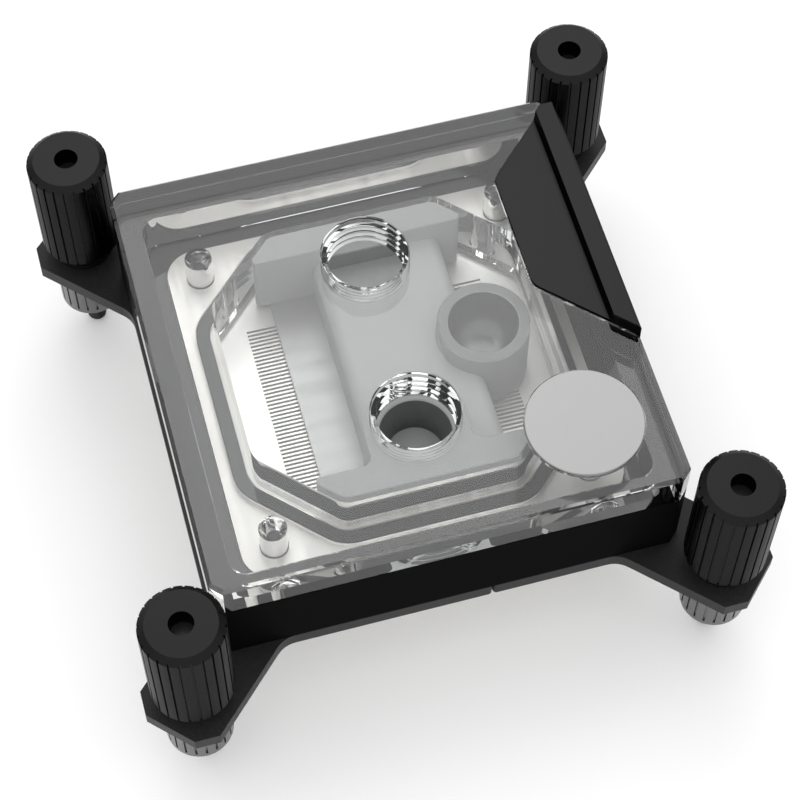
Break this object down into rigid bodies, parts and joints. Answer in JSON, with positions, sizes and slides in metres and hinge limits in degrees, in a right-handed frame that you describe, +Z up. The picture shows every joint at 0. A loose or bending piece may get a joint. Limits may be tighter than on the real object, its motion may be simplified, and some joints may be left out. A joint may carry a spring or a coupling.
{
  "type": "cpu water block",
  "caption": "Square liquid cooling block for a processor: clear top with threaded ports, finned cold plate, black frame and armed bracket with sprung thumb screws.",
  "frame": {"origin": "centre of the cold plate's contact face, the plane that rests on the processor", "axes": "+X along the front edge to the right, towards the trim cover; +Y from the inlet port to the outlet port, to the back; +Z up, out of the cold plate through the clear top"},
  "size_m": [0.0926, 0.0926, 0.0421],
  "materials": {
    "nickel_copper": "nickel plated copper, fine ground",
    "jet_steel": "satin stainless steel sheet",
    "insert_grey": "satin moulded plastic",
    "cup_dark": "dark satin nickel",
    "seal_rubber": "matt",
    "clear_acrylic": "polished clear acrylic",
    "trim_black": "satin black anodised",
    "badge_metal": "brushed",
    "frame_black": "gloss black",
    "bracket_black": "satin black powder coat on steel",
    "knob_black": "satin black anodised",
    "screw_black": "black oxide",
    "washer_black": "matt black",
    "spring_steel": "bright drawn wire",
    "standoff_grey": "satin nickel"
  },
  "bodies": {
    "block": {"cold_plate": "nickel_copper", "jet_plate": "jet_steel", "flow_insert": "insert_grey", "flow_cup": "cup_dark", "main_o_ring": "seal_rubber", "clear_top": "clear_acrylic", "trim_cover": "trim_black", "badge": "badge_metal", "base_frame": "frame_black", "bracket_left": "bracket_black", "bracket_right": "bracket_black", "standoff_fl": "standoff_grey", "washer_fl": "washer_black", "block_screw_fl": "screw_black", "standoff_fr": "standoff_grey", "washer_fr": "washer_black", "block_screw_fr": "screw_black", "standoff_bl": "standoff_grey", "washer_bl": "washer_black", "block_screw_bl": "screw_black", "standoff_br": "standoff_grey", "washer_br": "washer_black", "block_screw_br": "screw_black", "frame_screw_front_1": "screw_black", "frame_screw_front_2": "screw_black", "frame_screw_back_1": "screw_black", "frame_screw_back_2": "screw_black", "frame_screw_left_1": "screw_black", "frame_screw_left_2": "screw_black", "frame_screw_right_1": "screw_black", "frame_screw_right_2": "screw_black"},
    "thumb_screw_fl": {"thumb_knob_fl": "knob_black", "thumb_shank_fl": "screw_black", "spring_fl": "spring_steel"},
    "thumb_screw_fr": {"thumb_knob_fr": "knob_black", "thumb_shank_fr": "screw_black", "spring_fr": "spring_steel"},
    "thumb_screw_bl": {"thumb_knob_bl": "knob_black", "thumb_shank_bl": "screw_black", "spring_bl": "spring_steel"},
    "thumb_screw_br": {"thumb_knob_br": "knob_black", "thumb_shank_br": "screw_black", "spring_br": "spring_steel"}
  },
  "joints": [
    {"name": "thumb_screw_fl_turn", "type": "hinge", "parent": "block", "child": "thumb_screw_fl", "pos_m": [-0.039, -0.039, 0], "axis": [0, 0, 1], "continuous": true},
    {"name": "thumb_screw_fr_turn", "type": "hinge", "parent": "block", "child": "thumb_screw_fr", "pos_m": [0.039, -0.039, 0], "axis": [0, 0, 1], "continuous": true},
    {"name": "thumb_screw_bl_turn", "type": "hinge", "parent": "block", "child": "thumb_screw_bl", "pos_m": [-0.039, 0.039, 0], "axis": [0, 0, 1], "continuous": true},
    {"name": "thumb_screw_br_turn", "type": "hinge", "parent": "block", "child": "thumb_screw_br", "pos_m": [0.039, 0.039, 0], "axis": [0, 0, 1], "continuous": true}
  ]
}
